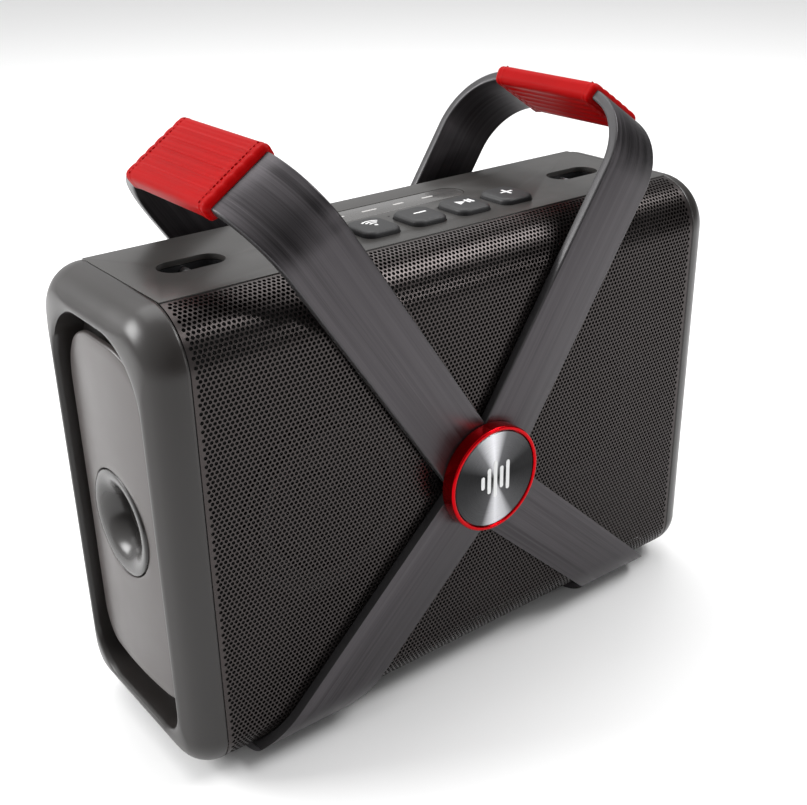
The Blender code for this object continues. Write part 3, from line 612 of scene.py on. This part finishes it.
def make_rear_shell():
    """The back, the underside and the top's rear edge as one bent shell."""
    top_centre = (BACK - TOP_RADIUS, TOP - TOP_RADIUS)
    low_centre = (BACK - BOTTOM_RADIUS, BOTTOM + BOTTOM_RADIUS)

    def edge(inset):
        start = math.degrees(math.acos((PANEL_HIGH.y + GAP - top_centre[0]) / (TOP_RADIUS - inset)))
        points = arc(top_centre, TOP_RADIUS - inset, start, 0, 24)
        points += arc(low_centre, BOTTOM_RADIUS - inset, 0, -90, 20)
        return points + [(FRONT + BOTTOM_RADIUS + GAP, BOTTOM + inset)]

    shell = plate("back_shell", [edge(0) + edge(WALL)[::-1]], 2 * (SEAM - GAP), across_x())
    low, high = span("socket_flap")
    size = (high.x - low.x + 2 * GAP, high.z - low.z + 2 * GAP)
    cut(shell, plate("window", [centred(0, (low.z + high.z) / 2, size, 1.2, 4)], 20, across_y(BACK)))
    soften(shell, 0.3, 2, 60)
    piece(shell, SHELL, "cabinet", "rear_shell", slot="shell")


# ---- straps --------------------------------------------------------------------------------------
def loop_outline(steps=24):
    """The handle loop seen along the strap's width: up the front, over the top and down the back."""
    front, back, corner = FRONT - STRAP_STANDOFF, BACK + STRAP_STANDOFF, HANDLE_RISE - HANDLE_RADIUS
    outer, inner = HANDLE_RADIUS, HANDLE_RADIUS - STRAP_THICKNESS
    front_centre, back_centre = (front + HANDLE_RADIUS, corner), (back - HANDLE_RADIUS, corner)
    points = [(front, 0)]
    points += arc(front_centre, outer, 180, 90, steps) + arc(back_centre, outer, 90, 0, steps)
    points += [(back, 0), (back - STRAP_THICKNESS, 0)]
    points += arc(back_centre, inner, 0, 90, steps) + arc(front_centre, inner, 90, 180, steps)
    return points + [(front + STRAP_THICKNESS, 0)]


def leg_frame(side):
    """Local X is depth, local Y runs up the leg, local Z is across the strap."""
    up_leg = (side * math.cos(UPPER_ANGLE), 0, math.sin(UPPER_ANGLE))
    return frame_of((0, 1, 0), up_leg, (0, 0, UPPER_CROSS_Z))


def two_tone(made, side_look, face_test):
    """A second material on the faces that the test picks."""
    made.data.materials.append(side_look)
    for polygon in made.data.polygons:
        if face_test(polygon):
            polygon.material_index = 1


def make_upper_strap(side, name):
    """The handle loop, mitred where it meets the other one and the lower straps."""
    strap = plate(f"handle_{name}", [loop_outline()], STRAP_WIDTH, leg_frame(side))
    reach, half_gap = 80, 0.15
    outline = [(half_gap, JOINT_Z + reach), (half_gap, JOINT_Z + half_gap),
               (reach, JOINT_Z + half_gap + reach * JOINT_SLOPE), (reach, JOINT_Z - reach),
               (-reach, JOINT_Z - reach), (-reach, JOINT_Z + reach)]
    cut(strap, plate("mitre", [[(side * x, z) for x, z in outline]], 200, across_y(MIDDLE)))
    soften(strap, 0.9, 3, 40)
    strap.data.transform(strap.matrix_world)
    strap.matrix_world = Matrix.Identity(4)
    across = Vector((math.sin(UPPER_ANGLE), 0, -side * math.cos(UPPER_ANGLE)))
    piece(strap, STRAP_LOOKS["upper", side], "cabinet", f"strap_upper_{name}", slot="strap", smooth=30)
    two_tone(strap, STRAP_SIDE, lambda polygon: abs(polygon.normal.dot(across)) > 0.5)


def make_lower_strap(side, name):
    """The leg that runs from the crossing down, round the underside and up the back."""
    z_end, half_gap, half = BOTTOM + 2, 0.15, STRAP_WIDTH / 2
    sine, cosine = math.sin(LOWER_ANGLE), math.cos(LOWER_ANGLE)

    def upper_edge(z):
        return half * sine + (LOWER_CROSS_Z + half * cosine - z) * cosine / sine

    def lower_edge(z):
        return -half * sine + (LOWER_CROSS_Z - half * cosine - z) * cosine / sine

    start = JOINT_Z - half_gap
    meet = upper_edge(start) / (1 + JOINT_SLOPE * cosine / sine)
    low_start = LOWER_CROSS_Z - half * cosine - (half_gap + half * sine) * sine / cosine
    outline = [(half_gap, start), (meet, start + meet * JOINT_SLOPE), (upper_edge(z_end), z_end),
               (upper_edge(z_end), -10), (lower_edge(z_end), -10), (lower_edge(z_end), z_end),
               (half_gap, low_start)]
    clear, outer = STRAP_CLEARANCE, STRAP_STANDOFF
    front_centre = (FRONT + BOTTOM_RADIUS, BOTTOM + BOTTOM_RADIUS)
    back_centre = (BACK - BOTTOM_RADIUS, BOTTOM + BOTTOM_RADIUS)
    top = JOINT_Z + 30
    profile = [(FRONT - outer, top)] + arc(front_centre, BOTTOM_RADIUS + outer, 180, 270, 20)
    profile += arc(back_centre, BOTTOM_RADIUS + outer, 270, 360, 20)
    profile += [(BACK + outer, top), (BACK + clear, top)]
    profile += arc(back_centre, BOTTOM_RADIUS + clear, 360, 270, 20)
    profile += arc(front_centre, BOTTOM_RADIUS + clear, 270, 180, 20) + [(FRONT - clear, top)]
    strap = plate(f"lower_leg_{name}", [profile], 160, across_x(side * 80))
    cut(strap, plate("keep", [[(side * x, z) for x, z in outline]], 200, across_y(MIDDLE)), "INTERSECT")
    soften(strap, 0.9, 3, 40)
    strap.data.transform(strap.matrix_world)
    strap.matrix_world = Matrix.Identity(4)
    across = Vector((side * sine, 0, cosine))
    piece(strap, STRAP_LOOKS["lower", side], "cabinet", f"strap_lower_{name}", slot="strap", smooth=30)
    two_tone(strap, STRAP_SIDE,
             lambda polygon: abs(polygon.normal.dot(across)) > 0.5 and polygon.center.z > (BOTTOM + 6) * MM)


STRAP_COLOR = (0.062, 0.057, 0.061)
STRAP_LOOKS = {
    ("upper", 1): brushed("brushed_upper_right", STRAP_COLOR, 0.36, -(math.pi / 2 - UPPER_ANGLE)),
    ("upper", -1): brushed("brushed_upper_left", STRAP_COLOR, 0.36, math.pi / 2 - UPPER_ANGLE),
    ("lower", 1): brushed("brushed_lower_right", STRAP_COLOR, 0.36, math.pi / 2 - LOWER_ANGLE),
    ("lower", -1): brushed("brushed_lower_left", STRAP_COLOR, 0.36, -(math.pi / 2 - LOWER_ANGLE)),
}


# ---- grips ---------------------------------------------------------------------------------------
def grip_path(t):
    """Centre line of the strap at depth offset t from the middle, as (y, s) and its outward normal."""
    mid_radius = HANDLE_RADIUS - STRAP_THICKNESS / 2
    flat = MIDDLE - (FRONT - STRAP_STANDOFF + HANDLE_RADIUS)
    sign = 1 if t >= 0 else -1
    over = abs(t) - flat
    if over <= 0:
        return MIDDLE + t, HANDLE_RISE - STRAP_THICKNESS / 2, 0.0, 1.0
    a = over / mid_radius
    y = MIDDLE + sign * (flat + mid_radius * math.sin(a))
    s = HANDLE_RISE - HANDLE_RADIUS + mid_radius * math.cos(a)
    return y, s, sign * math.sin(a), math.cos(a)


GRIP_HALF = GRIP_LENGTH / 2 + 0.4                       # half of the sleeve's length along the strap
GRIP_WIDE = STRAP_WIDTH / 2 + GRIP_WALL - 0.3           # half of its width
GRIP_THICK = STRAP_THICKNESS / 2 + GRIP_WALL - 0.4      # half of its thickness
GRIP_CORNER = 3.4
RIBBED = 0.9                                            # share of the width that carries ribs
STITCH_LINE = 4.9                                       # from the sleeve's end to its stitching


def on_strap(place, t, u, v):
    """A point in millimetres at depth offset t, u across the strap and v out from its centre line."""
    y, s, out_y, out_s = grip_path(t)
    point = place @ (Vector((y + out_y * v, s + out_s * v, 0)) * MM)
    return point / MM + (place.to_3x3() @ Vector((0, 0, 1))) * u


def grip_section():
    """The sleeve's outline across the strap, with closely spaced points on both broad faces."""
    u, v = GRIP_WIDE - GRIP_CORNER, GRIP_THICK - GRIP_CORNER
    section = []
    for centre, start in (((u, v), 0), ((-u, v), 90), ((-u, -v), 180), ((u, -v), 270)):
        section += arc(centre, GRIP_CORNER, start, start + 90, 7)
        if start in (0, 180):
            sign = 1 if start == 0 else -1
            section += [(sign * u * (1 - 2 * i / 72), sign * GRIP_THICK) for i in range(1, 72)]
    return section


def grip_skin(section, t):
    """The section at depth offset t: ribs along it, a puffed edge and a welt near the end."""
    edge = GRIP_HALF - abs(t)
    roll = min(edge / 2.4, 1.0)
    puff = math.sqrt(max(1 - (1 - roll) ** 2, 0))
    welt = 0.30 * math.exp(-((edge - 2.4) / 1.2) ** 2)
    welt -= 0.28 * math.exp(-((edge - STITCH_LINE) / 0.8) ** 2)
    rib_fade = 0.35 + 0.65 * min(max((edge - 4.0) / 6.0, 0), 1)
    reach_u, reach_v = STRAP_WIDTH / 2 + 0.05, STRAP_THICKNESS / 2 + 0.05
    skin = []
    for u, v in section:
        inner_u, inner_v = max(min(u, reach_u), -reach_u), math.copysign(reach_v, v)
        wide = u / GRIP_WIDE
        rib = 0.0
        if abs(abs(v) - GRIP_THICK) < 0.01 and abs(wide) < RIBBED:
            crest = 1 - abs(math.sin(math.pi * (wide / RIBBED * 3))) ** 0.75
            fade_side = min((RIBBED - abs(wide)) / 0.06, 1)
            rib = (1.25 if v > 0 else 0.9) * crest * rib_fade * fade_side
        crown = 0.35 * (1 - wide * wide) * (1 if v > 0 else 0)
        # copysign folds a negative sum outward, so the ribs and the stitched line stand proud
        height = v
        if abs(v) > GRIP_THICK - GRIP_CORNER + 0.01:
            height = v + math.copysign(welt - rib + crown, v)
        spread = u
        if abs(u) > GRIP_WIDE - GRIP_CORNER:
            spread = u + math.copysign(welt * 0.55, u)
        skin.append((inner_u + (spread - inner_u) * puff, inner_v + (height - inner_v) * puff))
    return skin


def grip_lining(section):
    """The section at the sleeve's ends, drawn in under the strap's surface."""
    reach_u, reach_v = STRAP_WIDTH / 2 - 0.4, STRAP_THICKNESS / 2 - 0.4
    return [(max(min(u, reach_u), -reach_u), math.copysign(reach_v, v)) for u, v in section]


def make_grip(side, name):
    """A soft sleeve: six ribs along its top, a puffed edge, and a stitched welt near each end."""
    place, section, rows = leg_frame(side), grip_section(), 150

    def ring(t, outline):
        return np.array([tuple(on_strap(place, t, u, v)) for u, v in outline])

    offsets = [-GRIP_HALF + 2 * GRIP_HALF * i / rows for i in range(rows + 1)]
    rings = [ring(-GRIP_HALF + 0.1, grip_lining(section))]
    rings += [ring(t, grip_skin(section, t)) for t in offsets]
    rings += [ring(GRIP_HALF - 0.1, grip_lining(section))]
    grip = loft(f"grip_sleeve_{name}", rings)
    piece(grip, GRIP, "cabinet", f"grip_{name}", slot="grip", smooth=70)
    make_stitches(name, place)


def make_stitches(name, place, count=17, margin=2.2):
    """A row of short threads across the sleeve near each end."""
    across = place.to_3x3() @ Vector((0, 0, 1))
    turn = Vector((0, 0, 1)).rotation_difference(across).to_matrix().to_4x4()
    shape = bmesh.new()
    for end in (-1, 1):
        for i in range(count):
            u = -GRIP_WIDE + margin + 2 * (GRIP_WIDE - margin) * i / (count - 1)
            lift = GRIP_THICK - 0.15 + 0.35 * (1 - (u / GRIP_WIDE) ** 2)
            centre = on_strap(place, end * (GRIP_HALF - STITCH_LINE), u, lift) * MM
            thread = Matrix.Translation(centre) @ turn @ Matrix.Diagonal((1, 1, 1.9, 1))
            bmesh.ops.create_uvsphere(shape, u_segments=8, v_segments=6, radius=0.42 * MM, matrix=thread)
    mesh = bpy.data.meshes.new(f"grip_stitches_{name}")
    shape.to_mesh(mesh)
    shape.free()
    piece(new_object(f"grip_stitches_{name}", mesh), STITCH, "cabinet", slot="grip", smooth=None)


# ---- hub -----------------------------------------------------------------------------------------
def make_hub():
    """A red rim round a spun face with five bars printed on it, and a spun cover at the back."""
    height = HUB_HIGH.y - HUB_LOW.y
    rim, recess = 2.2, 2.2
    inner = HUB_RADIUS - rim
    profile = [(0, height - recess), (inner, height - recess), (inner, height - 0.7)]
    profile += arc((inner + 0.7, height - 0.7), 0.7, 180, 90, 5)
    profile += arc((HUB_RADIUS - 0.9, height - 0.9), 0.9, 90, 0, 6)
    profile += [(HUB_RADIUS, 1.4)] + arc((HUB_RADIUS - 0.6, 0.6), 0.6, 0, -90, 4) + [(0, 0)]
    place = along((0, -1, 0), (0, HUB_HIGH.y, HUB_Z))
    piece(turned("hub_rim", profile, place, 160), HUB_RED, "cabinet", "hub_ring", slot="hub_red", smooth=40)

    disc_radius, front, back = inner - GAP, height - 0.4, height - recess + 0.3
    disc = [(0, front), (disc_radius * 0.5, front), (disc_radius - 0.5, front)]
    disc += arc((disc_radius - 0.5, front - 0.5), 0.5, 90, 0, 4) + [(disc_radius, back), (0, back)]
    piece(turned("hub_face", disc, place, 160), SPUN, "cabinet", "hub_disc", slot="spun", smooth=40)

    bars = ((-8, 7), (-4, 14), (0, 20), (4, 12), (8, 16))      # each bar's place and height
    for index, (x, tall) in enumerate(bars):
        outline = centred(x, HUB_Z, (2.2, tall), 1.08, 8)
        bar = plate(f"hub_mark_{index + 1}", [outline], 0.12, across_y(DISC_LOW.y - 0.05))
        piece(bar, ICON, "cabinet", slot="spun")

    low, high = span("rear_hub_cover")
    radius, thick = (high.x - low.x) / 2, high.y - low.y
    profile = [(0, thick), (radius - 1.2, thick)] + arc((radius - 1.2, thick - 1.2), 1.2, 90, 0, 6)
    profile += [(radius, 0), (0, 0)]
    cover = turned("rear_cover_disc", profile, along((0, 1, 0), (0, low.y, HUB_Z)), 128)
    piece(cover, SPUN, "cabinet", "rear_hub_cover", slot="spun", smooth=40)


# ---- buttons and marks ---------------------------------------------------------------------------
def icon_parts(node, x, y):
    """The flat shapes of a button's symbol, around its centre."""
    bar = 1.25
    if node == "button_minus":
        return [centred(x, y, (7.4, bar), 0.3, 3)]
    if node == "button_plus":
        arm, half = 3.7, bar / 2
        lower = [(-arm, -half), (-half, -half), (-half, -arm), (half, -arm), (half, -half), (arm, -half)]
        return [[(x + u, y + v) for u, v in lower + [(-u, -v) for u, v in lower]]]
    if node == "button_play":
        triangle = [(x - 4.2, y - 2.7), (x + 0.4, y), (x - 4.2, y + 2.7)]
        return [triangle] + [centred(x + u, y, (1.3, 5.2), 0.2, 2) for u in (1.9, 4.1)]
    if node == "button_power":
        ring = arc((x, y), 3.6, 125, 415, 28) + arc((x, y), 2.5, 415, 125, 28)
        return [ring, centred(x, y + 2.6, (1.1, 4.2), 0.3, 3)]
    source = (x, y - 2.8)
    shapes = [arc(source, 0.9, 0, 345, 23)]
    for radius in (3.0, 5.0, 7.0):
        shapes.append(arc(source, radius + 0.5, 50, 130, 14) + arc(source, radius - 0.5, 130, 50, 14))
    return shapes


def make_buttons():
    """Five soft caps with rounded edges, each with its printed symbol."""
    edge = 2.0
    for node in BUTTONS:
        low, high = span(node)
        x, y = (low.x + high.x) / 2, (low.y + high.y) / 2
        size = (high.x - low.x - BUTTON_FLANGE, high.y - low.y - BUTTON_FLANGE)
        shoulder = high.z - 2.3
        levels = [(0.0, low.z + 0.3), (0.0, shoulder)]
        for a in (math.radians(15 * i) for i in range(1, 6)):
            levels.append((edge * (1 - math.cos(a)), shoulder + edge * math.sin(a)))
        levels += [(2.6, high.z - 0.26), (4.2, high.z - 0.12), (6.5, high.z - 0.02)]
        rings = []
        for inset, z in levels:
            corner = max(5.0 - inset * 0.7, 0.8)
            ring = centred(x, y, (size[0] - 2 * inset, size[1] - 2 * inset), corner, 10)
            rings.append(np.array([(u, v, z) for u, v in ring]))
        piece(loft(f"{node}_cap", rings), RUBBER, node, node, slot="rubber", smooth=50)
        for index, shape in enumerate(icon_parts(node, x, y)):
            mark = plate(f"{node}_mark_{index + 1}", [shape], 0.16, across_z(high.z + 0.02))
            piece(mark, ICON, node, slot="rubber")


def make_lens():
    """The smoked window in the control panel and the four faint marks under it."""
    size = (LENS_HIGH.x - LENS_LOW.x, LENS_HIGH.y - LENS_LOW.y)
    y = (LENS_LOW.y + LENS_HIGH.y) / 2
    outline, thickness = centred(0, y, size, size[1] / 2 - 0.01, 24), LENS_HIGH.z - LENS_LOW.z
    lens = plate("indicator_window", [outline], thickness, across_z((LENS_LOW.z + LENS_HIGH.z) / 2))
    soften(lens, 0.35, 3, 50)
    piece(lens, LENS, "cabinet", "indicator_lens", slot="lens")
    for index, (x, wide) in enumerate(((-26, 3), (-9.5, 9), (8.5, 6.5), (27, 7))):
        outline = centred(x, y, (wide, 1.6), 0.7, 4)
        mark = plate(f"indicator_{index + 1}", [outline], 0.1, across_z(LENS_HIGH.z + 0.01))
        piece(mark, FAINT_ICON, "cabinet", slot="lens")


# ---- carried-over CAD nodes ----------------------------------------------------------------------
CARRIED = {
    "anchor_cup": INNER, "anchor_bar": STEEL, "front_baffle": BAFFLE, "woofer_basket": DARK_STEEL,
    "woofer_cone": PULP, "woofer_magnet": FERRITE, "woofer_surround": RUBBER, "battery_pack": WRAP,
    "main_board": BOARD, "button_board": BOARD, "foot_": FLAP, "socket_flap": FLAP, "socket_plate": INNER,
    "usb_socket": STEEL, "aux_socket": STEEL, "rear_screw": DARK_STEEL, "hub_stud": STEEL,
    "centre_brace": INNER,
}


def dress_cad_nodes():
    """Materials for the CAD nodes that are shown as they are, by the start of their names."""
    for node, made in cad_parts.items():
        for prefix, look in CARRIED.items():
            if node.startswith(prefix):
                made.data.materials.clear()
                made.data.materials.append(look)


# ---- stage ---------------------------------------------------------------------------------------
def make_stage():
    """A pale floor under a room that is brighter behind and above, to the left."""
    mesh = bpy.data.meshes.new("floor")
    shape = bmesh.new()
    bmesh.ops.create_grid(shape, x_segments=2, y_segments=2, size=6)
    shape.to_mesh(mesh)
    shape.free()
    floor = new_object("floor", mesh)
    floor.location.z = -0.0002
    look = Look("floor_paint", (0.90, 0.90, 0.90), 0.7)
    look.feed("Roughness", look.ramp(look.noise(3, 3), 0.3, 0.7, 0.66, 0.74))
    mesh.materials.append(look.material)
    world = bpy.data.worlds.new("studio")
    bpy.context.scene.world = world
    world.use_nodes = True
    tree = world.node_tree
    background = tree.nodes["Background"]
    direction = tree.nodes.new("ShaderNodeTexCoord").outputs["Generated"]
    facing = tree.nodes.new("ShaderNodeVectorMath")
    facing.operation = "DOT_PRODUCT"
    facing.inputs[1].default_value = Vector((-0.45, 0.62, 0.62)).normalized()
    tree.links.new(direction, facing.inputs[0])
    glow = tree.nodes.new("ShaderNodeMapRange")
    limits = {"From Min": -0.3, "From Max": 0.9, "To Min": 0.07, "To Max": 1.15}
    for socket, value in limits.items():
        glow.inputs[socket].default_value = value
    tree.links.new(facing.outputs["Value"], glow.inputs["Value"])
    tree.links.new(glow.outputs["Result"], background.inputs["Strength"])
    background.inputs["Color"].default_value = (1.0, 1.0, 1.0, 1)
    bpy.context.scene.view_settings.view_transform = "Standard"


def area_light(name, position, target, size, power):
    data = bpy.data.lights.new(name, "AREA")
    data.shape = "RECTANGLE"
    data.size, data.size_y = size
    data.energy = power
    light = bpy.data.objects.new(name, data)
    bpy.context.scene.collection.objects.link(light)
    light.location = position
    light.rotation_euler = (Vector(target) - Vector(position)).to_track_quat("-Z", "Y").to_euler()


def make_lights():
    target = (0, 0, 0.12)
    area_light("left_softbox", (-1.25, 0.85, 0.95), target, (0.7, 0.7), 22)
    area_light("top_softbox", (0.3, 0.8, 2.0), target, (2.4, 1.4), 30)
    area_light("key", (0.85, -0.55, 1.3), target, (0.8, 0.4), 13)
    area_light("hub_strip", (0.95, -1.4, 0.55), (0, -0.07, 0.115), (0.08, 0.5), 3)


# right, up and backward directions of the camera
CAMERA_AXES = (
    (0.789621, -0.613375, -0.016455),
    (0.274771, 0.329490, 0.903292),
    (-0.548635, -0.717780, 0.428710),
)


def make_camera():
    data = bpy.data.cameras.new("camera")
    data.sensor_width = 36
    data.lens = 52.65
    camera = bpy.data.objects.new("camera", data)
    bpy.context.scene.collection.objects.link(camera)
    camera.location = (-0.3405, -0.4414, 0.3962)
    camera.rotation_mode = "QUATERNION"
    camera.rotation_quaternion = Matrix(CAMERA_AXES).transposed().to_quaternion()
    data.clip_start, data.clip_end = 0.01, 30
    bpy.context.scene.camera = camera


make_camera()
make_top_panel()
make_rear_shell()
make_hub()
make_buttons()
make_lens()
for side, name in ((-1, "left"), (1, "right")):
    make_grille(side, name)
    make_end_cap(side, name)
    make_end_panel(side, name)
    make_port(side, name)
    make_upper_strap(side, name)
    make_lower_strap(side, name)
    make_grip(side, name)
dress_cad_nodes()
make_stage()
make_lights()
